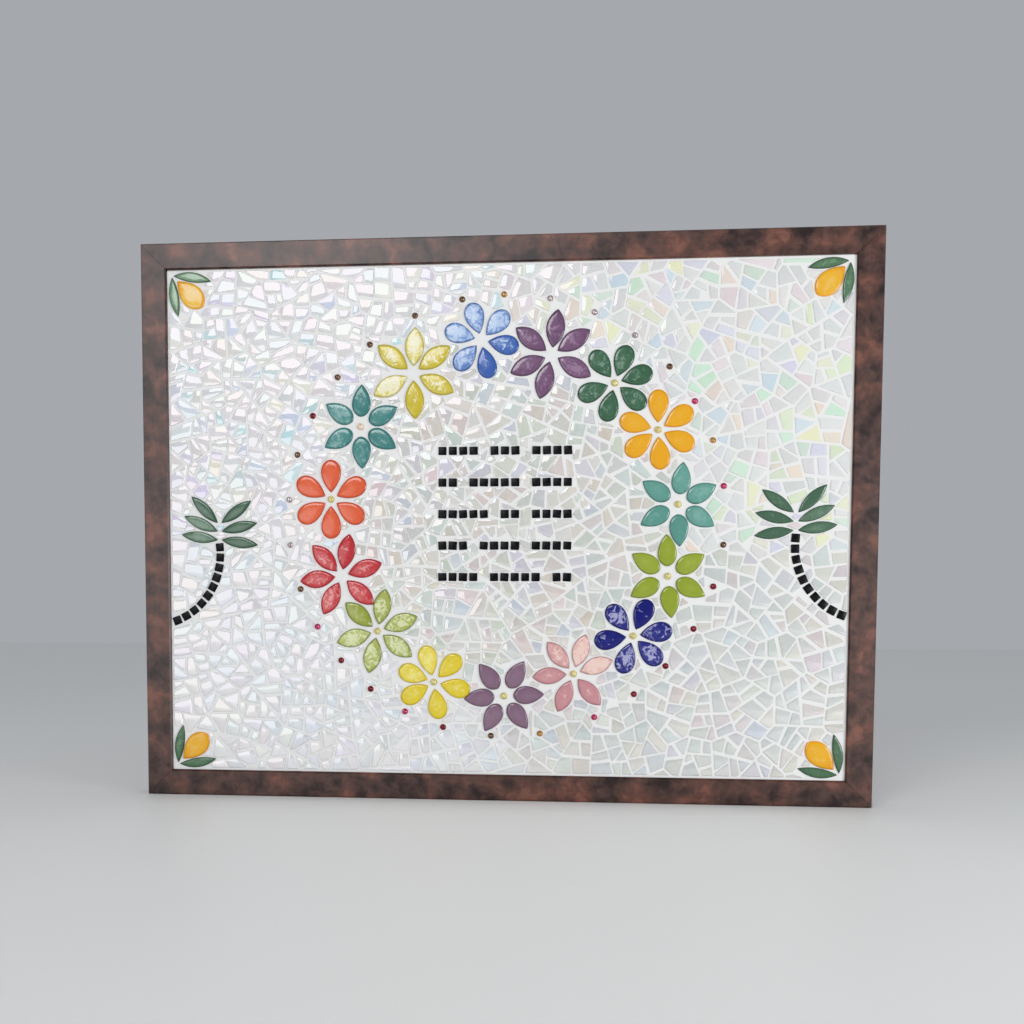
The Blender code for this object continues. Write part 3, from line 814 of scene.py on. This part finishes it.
field = {
    "seed": 11,
    "finishSeed": 5,  # of the shards' tints, batches and tilts
    "group": 27 * mm,  # sheets of about this size were broken up together
    "joint": 1.75 * mm,
    "jointSpread": (0.7, 1.45),
    "trials": 7,
    "carelessness": 0.16,
    "smallest": 48 * mm * mm,  # a shard is broken again until it is smaller than a size from here
    "largest": 104 * mm * mm,  # up to here
    "scrap": 9 * mm * mm,
    "thinnest": 1.9 * mm,
    "edgeJoint": 1.7 * mm,
    "spots": 2.3 * mm,  # the blanks are searched at steps of this size, each spot strewn within its own
    "strewn": (0.2, 0.8),
    "filler": 5.0 * mm,
    "fillerJoint": 1.45 * mm,
    "fillerRoundness": 0.42,
    "fillerSizes": (0.75, 1.1),
    "bin": 10 * mm,
    "scatter": 0.33,
    "neighbours": 15,
    "breakTurn": 42,  # degrees that a break may turn from straight across
    "breakShift": 0.14,
    "chip": 0.35 * mm,  # sides shorter than this are left out
    "sink": 0.5 * mm,
    "proud": 0.45 * mm,
    "unevenProud": (-0.1 * mm, 0.15 * mm),
    "rim": 0.30 * mm,
    "rimSteps": ((0.45, 0.45), (0.6, 0.15)),  # in and up, as shares of the rim
    "tilt": 1.2,  # degrees; some shards sit askew by more
    "askew": 3.6,
    "askewShare": 0.12,
    "mostLean": 0.3 * mm,
    "tintStrength": (0.35, 1.0),
    "tintLight": (0.92, 1.08),
    # broad parts of the field, each with its plain glass and then its tinted batches
    "tints": {
        "ring": (
            (212, 214, 208), (208, 216, 200), (220, 210, 194), (227, 208, 207), (203, 212, 224),
            (211, 206, 220), (215, 216, 200), (226, 218, 206), (205, 219, 212), (228, 226, 219),
            (218, 204, 200), (207, 210, 206),
        ),
        # painted glare: the upper left glass is painted lighter, near white, with cyan, lilac and yellow
        # batches; partly the glass's own tints and partly painted glare and painted coloured reflections
        # of its film
        "upperLeft": (
            (234, 232, 233), (236, 236, 236), (192, 238, 242), (230, 220, 244), (246, 246, 226),
            (238, 234, 232), (210, 226, 250), (232, 230, 234), (228, 236, 234), (238, 228, 230),
            (234, 232, 233), (228, 226, 236), (236, 234, 230), (240, 238, 236),
        ),
        "lowerLeft": (
            (226, 229, 232), (228, 228, 228), (220, 226, 236), (230, 226, 224), (218, 230, 234),
            (224, 222, 232), (232, 232, 228), (226, 228, 224), (230, 230, 232), (222, 226, 228),
        ),
        "upperRight": (
            (229, 231, 228), (231, 229, 226), (212, 246, 218), (248, 250, 204), (250, 230, 210),
            (220, 220, 242), (212, 234, 246), (231, 231, 229), (227, 231, 229), (234, 229, 223),
            (228, 244, 204), (238, 224, 228), (229, 231, 228), (224, 228, 226), (228, 226, 230),
        ),
        "lowerRight": (
            (207, 214, 206), (209, 216, 213), (216, 213, 201), (219, 208, 205), (210, 208, 217),
            (200, 208, 218), (212, 214, 214), (221, 219, 210), (204, 212, 209), (217, 206, 211),
        ),
    },
    "upperPart": -0.02,  # the upper parts begin at this height, and the right ones right of the middle
}


def halved(corners, spot, across, joint):
    # cuts a shard along a line through spot and opens a joint there; gives what lies ahead of the
    # line and what lies behind it
    halves = []
    for way in (1, -1):
        bm = bmesh.new()
        bm.faces.new([bm.verts.new(corner) for corner in corners])
        parts = bm.verts[:] + bm.edges[:] + bm.faces[:]
        ahead = across * way
        cut = spot + ahead * joint / 2
        bmesh.ops.bisect_plane(bm, geom=parts, dist=1e-7, plane_co=cut, plane_no=ahead, clear_inner=True)
        halves.append([loop.vert.co.copy() for face in bm.faces for loop in face.loops])
        bm.free()
    return halves


def middleOf(corners):
    return sum(corners, Vector()) / len(corners)


def areaOf(corners):
    total = 0
    for here, there in zip(corners, corners[1:] + corners[:1]):
        total += here.x * there.z - there.x * here.z
    return abs(total) / 2


def longestWay(corners):
    pairs = [(there - here) for index, here in enumerate(corners) for there in corners[index + 1:]]
    return max(pairs, key=lambda way: way.length)


def roundness(corners):
    # 1 for a disc, about 0.8 for a square, little for a splinter
    if len(corners) < 3:
        return 0
    around = sum((corner - corners[index - 1]).length for index, corner in enumerate(corners))
    return 4 * math.pi * areaOf(corners) / around**2


def broken(corners, chance):
    # breaks a piece across its length until its shards are small enough; of a few ways to break it,
    # the nippers take one that leaves no splinter
    size = areaOf(corners)
    if len(corners) < 3 or size < chance.uniform(field["smallest"], field["largest"]):
        return [corners]
    way = longestWay(corners)
    middle = middleOf(corners)
    joint = field["joint"] * chance.uniform(*field["jointSpread"])
    most, shift = field["breakTurn"], field["breakShift"]
    best = None
    for trial in range(field["trials"]):
        turn = Matrix.Rotation(math.radians(chance.uniform(-most, most)), 3, "Y")
        spot = middle + way * chance.uniform(-shift, shift)
        halves = halved(corners, spot, (turn @ way).normalized(), joint)
        worth = min(roundness(half) for half in halves) + chance.uniform(0, field["carelessness"])
        if best is None or worth > best[0]:
            best = (worth, halves)
    return [shard for half in best[1] if len(half) > 2 for shard in broken(half, chance)]


def sidesOf(outline):
    # the middle of each side of an outline and its way out, whichever way round the outline runs
    middle = middleOf(outline)
    sides = []
    for here, there in zip(outline, outline[1:] + outline[:1]):
        along = (there - here).normalized()
        outward = Vector((along.z, 0, -along.x))
        spot = (here + there) / 2
        sides.append((spot, outward if (spot - middle).dot(outward) > 0 else -outward))
    return sides


def fitted(corners, sides, gap):
    # pares a shard back from an outline, and keeps what lies beside it on up to three sides
    kept = []
    for turn in range(3):
        clear = max(min((corner - spot).dot(outward) for corner in corners) for spot, outward in sides)
        if clear >= gap:
            return kept + [corners]
        middle = middleOf(corners)
        ranked = sorted(sides, key=lambda side: -(middle - side[0]).dot(side[1]))[:4]
        best = None
        for spot, outward in ranked:
            ahead, behind = halved(corners, spot + outward * gap, outward, 0)
            size = areaOf(ahead) if len(ahead) > 2 else 0
            if best is None or size > best[0]:
                best = (size, ahead, spot, outward)
        size, ahead, spot, outward = best
        if size < field["scrap"]:
            break
        kept.append(ahead)
        corners = halved(corners, spot + outward * (gap - field["joint"]), -outward, 0)[0]
        if len(corners) < 3:
            break
    return kept


def withoutChips(shard):
    # leaves out sides too short to see
    sides = zip(shard, shard[-1:] + shard[:-1])
    return [corner for corner, last in sides if (corner - last).length > field["chip"]]


def isWorthLaying(shard):
    if len(shard) < 3:
        return False
    size = areaOf(shard)
    return size > field["scrap"] and size / longestWay(shard).length > field["thinnest"] / 2


def wayTo(outline, spot):
    # the way from a spot to the nearest point of an outline, or nothing where the spot lies in it
    ways = []
    turns = set()
    for here, there in zip(outline, outline[1:] + outline[:1]):
        along = there - here
        share = min(max((spot - here).dot(along) / along.length_squared, 0), 1)
        ways.append(here + along * share - spot)
        turns.add(along.cross(spot - here).y > 0)
    return min(ways, key=lambda way: way.length_squared) if len(turns) > 1 else None


def roomAt(spot, near):
    # the room round a spot, to the nearest joint, and the joints round it
    joints = []
    for outline, gap in near:
        way = wayTo(outline, spot)
        if way is None or way.length <= gap:
            return 0, []
        joints.append((spot + way * (1 - gap / way.length), way.normalized()))
    return min(((place - spot).length for place, way in joints), default=field["filler"]), joints


def squareAround(spot, half, degrees):
    return [spot + direction(degrees + 90 * corner) * half * math.sqrt(2) for corner in range(4)]


def filledIn(shards, halves, chance):
    # nips small shards to the blanks that the others leave, the roomiest blank first
    bins = {}

    def register(outline, gap):
        margin = field["filler"] * 1.5 + gap
        spans = []
        for axis in (0, 2):
            along = [corner[axis] for corner in outline]
            first = math.floor((min(along) - margin) / field["bin"])
            last = math.floor((max(along) + margin) / field["bin"])
            spans.append(range(first, last + 1))
        for column in spans[0]:
            for row in spans[1]:
                bins.setdefault((column, row), []).append((outline, gap))

    def roomRound(spot):
        place = math.floor(spot.x / field["bin"]), math.floor(spot.z / field["bin"])
        return roomAt(spot, bins.get(place, []))

    for shard in shards:
        register(shard, field["fillerJoint"])
    for outline, gap in hurdles:
        register(outline, max(gap, 0.1 * mm))
    edges = []
    for side in range(4):
        way = direction(90 * side)
        edges.append((pictureMiddle + way * halves[side % 2], way))
    rooms = []
    halfX, halfZ = halves
    for column in range(int(2 * halfX / field["spots"])):
        for row in range(int(2 * halfZ / field["spots"])):
            x = -halfX + (column + chance.uniform(*field["strewn"])) * field["spots"]
            z = -halfZ + (row + chance.uniform(*field["strewn"])) * field["spots"]
            spot = pictureMiddle + Vector((x, 0, z))
            room = roomRound(spot)[0]
            if room > field["thinnest"] / 2:
                rooms.append((-room, len(rooms), spot))
    heapq.heapify(rooms)
    fillers = []
    while rooms:
        room, number, spot = heapq.heappop(rooms)
        nowRoom, joints = roomRound(spot)
        if nowRoom < field["thinnest"] / 2:
            continue
        if nowRoom < -room - 0.2 * mm:
            heapq.heappush(rooms, (-nowRoom, number, spot))
            continue
        half = field["filler"] * chance.uniform(*field["fillerSizes"])
        corners = squareAround(spot, half, chance.uniform(0, 90))
        for place, way in sorted(joints, key=lambda joint: (joint[0] - spot).length) + edges:
            corners = halved(corners, place, -way, 0)[0]
            if len(corners) < 3:
                break
        corners = withoutChips(corners)
        if isWorthLaying(corners) and roundness(corners) > field["fillerRoundness"]:
            fillers.append(corners)
            register(corners, field["fillerJoint"])
    print("blanks filled with", len(fillers), "shards")
    return fillers


def breakField():
    chance = random.Random(field["seed"])
    halfX = halfWidth - field["edgeJoint"]
    halfZ = halfHeight - field["edgeJoint"]
    columns, rows = round(2 * halfX / field["group"]), round(2 * halfZ / field["group"])
    wide, high = 2 * halfX / columns, 2 * halfZ / rows
    scatter = field["scatter"]
    seeds = []
    for row in range(-1, rows + 1):
        for column in range(-1, columns + 1):
            # every other row of sheets is staggered
            x = -halfX + (column + 0.5 + 0.25 * (-1) ** row + chance.uniform(-scatter, scatter)) * wide
            z = -halfZ + (row + 0.5 + chance.uniform(-scatter, scatter)) * high
            seeds.append(pictureMiddle + Vector((x, 0, z)))
    sheet = [pictureMiddle + corner for corner in oblong(halfX, halfZ)]
    shards = []
    for seed in seeds:
        corners = sheet
        near = sorted(seeds, key=lambda other: (other - seed).length)[1:field["neighbours"] + 1]
        for other in near:
            way = seed - other
            corners = halved(corners, (seed + other) / 2, way.normalized(), field["joint"])[0]
            if len(corners) < 3:
                break
        if len(corners) > 2:
            shards += broken(corners, chance)
    print("field broken into", len(shards), "shards")
    for outline, gap in hurdles:
        sides = sidesOf(outline)
        middle = middleOf(outline)
        reach = max((corner - middle).length for corner in outline) + gap
        kept = []
        for shard in shards:
            heart = middleOf(shard)
            span = max((corner - heart).length for corner in shard)
            if (heart - middle).length > reach + span:
                kept.append(shard)
            else:
                kept += fitted(shard, sides, gap)
        shards = kept
    whole = [tidied for tidied in map(withoutChips, shards) if isWorthLaying(tidied)]
    return whole + filledIn(whole, (halfX, halfZ), chance)


def partOfField(corner):
    spot = corner - pictureMiddle
    if (spot - ring["middle"]).xz.length < ringRadius:
        return "ring"
    return ("upper" if spot.z > field["upperPart"] else "lower") + ("Right" if spot.x > 0 else "Left")


def makeField(glasses):
    chance = random.Random(field["finishSeed"])
    shards = breakField()
    print("glass field:", len(shards), "shards")
    bm = bmesh.new()
    tint = bm.verts.layers.float_color.new("tint")
    faces = []
    for shard in shards:
        plain, *others = field["tints"][partOfField(shard[0])]
        strength = chance.uniform(*field["tintStrength"])
        colour = Vector(paint(*plain)).lerp(paint(*chance.choice(others)), strength)
        colour *= chance.uniform(*field["tintLight"])
        corners = []
        for corner in shard:
            vert = bm.verts.new((corner.x, depths["grout"] + field["sink"], corner.z))
            vert[tint] = colour
            corners.append(vert)
        face = bm.faces.new(corners)
        face.normal_update()
        if face.normal.y > 0:
            face.normal_flip()
        face.material_index = chance.randrange(len(glasses))
        faces.append(face)
    tops = bmesh.ops.extrude_discrete_faces(bm, faces=faces)["faces"]
    for face in tops:
        middle = face.calc_center_median()
        spread = field["askew"] if chance.random() < field["askewShare"] else field["tilt"]
        slope = [math.tan(math.radians(chance.gauss(0, spread))) for way in "xz"]
        height = field["proud"] + chance.uniform(*field["unevenProud"])
        for vert in face.verts:
            lean = (vert.co.x - middle.x) * slope[0] + (vert.co.z - middle.z) * slope[1]
            vert.co.y = depths["grout"] - height + max(min(lean, field["mostLean"]), -field["mostLean"])
    for across, up in field["rimSteps"]:
        across, up = across * field["rim"], up * field["rim"]
        bmesh.ops.inset_individual(bm, faces=tops, thickness=across, depth=up, use_even_offset=True)
    finishPiece("glass_field", bm, glasses, "iridescent_glass", "mosaic_bed", smooth=25)


groutBed = {
    "margin": 0.25 * mm,  # it reaches this far under the rails
    "cell": 1.6 * mm,
    "evenEdge": 0.5 * mm,
    "waves": ((4 * mm, 0.10), (1.7 * mm, 0.05)),  # their size, and their height in mm
}


def makeGroutBed():
    # the grout round the shards, a little uneven
    margin = Vector((groutBed["margin"], 0, groutBed["margin"]))
    low, high = bedLow - margin, bedHigh + margin
    middle, half = (low + high) / 2, (high - low) / 2
    columns, rows = (round(2 * side / groutBed["cell"]) for side in half.xz)
    lie = Matrix.Translation((middle.x, depths["grout"], middle.z)) @ Matrix.Rotation(math.pi / 2, 4, "X")
    size = Matrix.Diagonal((half.x, half.z, 1, 1))
    bm = newMesh()
    bmesh.ops.create_grid(bm, x_segments=columns, y_segments=rows, size=1, matrix=lie @ size)
    edge = [part for part in bm.edges if part.is_boundary]
    grown = bmesh.ops.extrude_edge_only(bm, edges=edge)["geom"]
    for part in grown:
        if isinstance(part, bmesh.types.BMVert):
            part.co.y = high.y
    bmesh.ops.holes_fill(bm, edges=[part for part in bm.edges if part.is_boundary], sides=0)
    for vert in bm.verts:
        inside = min(vert.co.x - low.x, high.x - vert.co.x, vert.co.z - low.z, high.z - vert.co.z)
        if vert.co.y < high.y - 1 * mm and inside > groutBed["evenEdge"]:
            rise = 0
            for wave, height in groutBed["waves"]:
                rise += noise.noise(vert.co / wave) * height * mm
            vert.co.y += rise
    finishPiece("grout_bed", bm, [makeGrout()], "white_grout", "mosaic_bed", smooth=50)


# The frame's rails and the board behind

rails = {
    "step": 5 * mm,
    "unevenness": 0.10 * mm,
    "sway": 30 * mm,
    "longer": 0.15 * mm,  # each end reaches this much further into the mitre
}


def makeRail(name, lengthwise):
    low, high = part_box(name)
    along = "XYZ".index(lengthwise)
    length = high[along] - low[along]
    way = Vector((0, 0, 0))
    way[along] = 1
    bm = newMesh()
    bm.from_mesh(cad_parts[name].data)
    bmesh.ops.remove_doubles(bm, verts=bm.verts, dist=0.01 * mm)
    bmesh.ops.dissolve_limit(bm, angle_limit=math.radians(1), verts=bm.verts, edges=bm.edges)
    count = int(length / rails["step"])
    for cut in range(1, count):
        spot = low + way * length * cut / count
        geometry = bm.verts[:] + bm.edges[:] + bm.faces[:]
        bmesh.ops.bisect_plane(bm, geom=geometry, dist=1e-6, plane_co=spot, plane_no=way)
    for vert in bm.verts:
        share = (vert.co[along] - low[along]) / length * 2 - 1
        vert.co[along] += share * rails["longer"]
        sway = noise.noise(vert.co / rails["sway"]) * rails["unevenness"]
        if vert.co.y < depths["grout"]:
            vert.co.y += abs(sway)
    side = name.removeprefix("frame_")
    wood = makeRailWood("brown_wood_" + side, lengthwise)
    finishPiece("rail_" + side, bm, [wood], "brown_wood", name, smooth=30)


def makeFrame():
    for side, lengthwise in (("top", "X"), ("bottom", "X"), ("left", "Z"), ("right", "Z")):
        makeRail("frame_" + side, lengthwise)
    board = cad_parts["backing_board"]
    board.data.materials.clear()
    board.data.materials.append(makeBoard())


# Floor, light and camera

stage = {
    "floor": paint(248, 248, 246),
    "floorHalf": 4,
    "air": (0.92, 0.95, 1.0, 1.0),
    "airStrength": 0.455,
    # place from the middle of the frame's face, size and watts of each soft light
    "lights": {
        "window": ((-0.49, -1.40, 0.69), (0.66, 0.44), 6.8),
        "curtain": ((-0.85, -1.40, -0.22), (0.9, 0.9), 5.2),
        "room": ((0.74, -0.54, 0.00), (0.32, 0.30), 3.25),
    },
}
cameraView = {
    "place": (62.3 * mm, -641.7 * mm, -60.4 * mm),  # from the middle of the frame's face
    "pan": 4.889,
    "tilt": -3.313,
    "roll": 0.31,
    "lens": 36.9,
    "sensor": 36,
    "shiftUp": 0.166,
    "nearest": 0.01,
    "tones": "Khronos PBR Neutral",  # keeps the glazes as strong as they are
}
faceMiddle = pictureMiddle + Vector((0, depths["railFront"], 0))


def makeStage():
    bm = bmesh.new()
    lie = Matrix.Translation((0, 0, lowestRail.z))
    bmesh.ops.create_grid(bm, x_segments=1, y_segments=1, size=stage["floorHalf"], matrix=lie)
    floor = newObject("floor", meshFrom("floor", bm))
    floor.data.materials.append(Finish("floor", Roughness=0.5, Base_Color=stage["floor"]).material)
    world = bpy.data.worlds.new("studio")
    world.use_nodes = True
    air = world.node_tree.nodes["Background"]
    air.inputs["Color"].default_value = stage["air"]
    air.inputs["Strength"].default_value = stage["airStrength"]
    bpy.context.scene.world = world
    for name, (place, size, power) in stage["lights"].items():
        data = bpy.data.lights.new(name, "AREA")
        data.shape = "RECTANGLE"
        data.size, data.size_y = size
        data.energy = power
        lamp = newObject(name, data)
        lamp.location = faceMiddle + Vector(place)
        lamp.rotation_euler = (faceMiddle - lamp.location).to_track_quat("-Z", "Y").to_euler()


def makeCamera():
    data = bpy.data.cameras.new("camera")
    data.lens = cameraView["lens"]
    data.sensor_width = cameraView["sensor"]
    data.shift_y = cameraView["shiftUp"]
    data.clip_start = cameraView["nearest"]
    camera = newObject("camera", data)
    camera.location = faceMiddle + Vector(cameraView["place"])
    pan, tilt, roll = (math.radians(cameraView[key]) for key in ("pan", "tilt", "roll"))
    turn = Matrix.Rotation(pan, 3, "Z") @ Matrix.Rotation(math.pi / 2 + tilt, 3, "X")
    camera.rotation_euler = (turn @ Matrix.Rotation(roll, 3, "Z")).to_euler()
    bpy.context.scene.camera = camera
    bpy.context.scene.view_settings.view_transform = cameraView["tones"]


makeCamera()
makeStage()
print("stage, lights and camera set")
beadMaterials = {kind: makeBead(kind) for kind in beadLooks}
blackGlaze = makeBlackGlaze()
makeFlowers(beadMaterials)
print("flowers made")
makePalms(blackGlaze)
makeCorners()
makeStrokes(blackGlaze)
makeRingBeads(beadMaterials)
print("palms, lemons, strokes and beads made")
makeField([makeGlass(number, *batch) for number, batch in enumerate(glassLook["batches"])])
makeGroutBed()
makeFrame()
print("glass, grout and frame made")
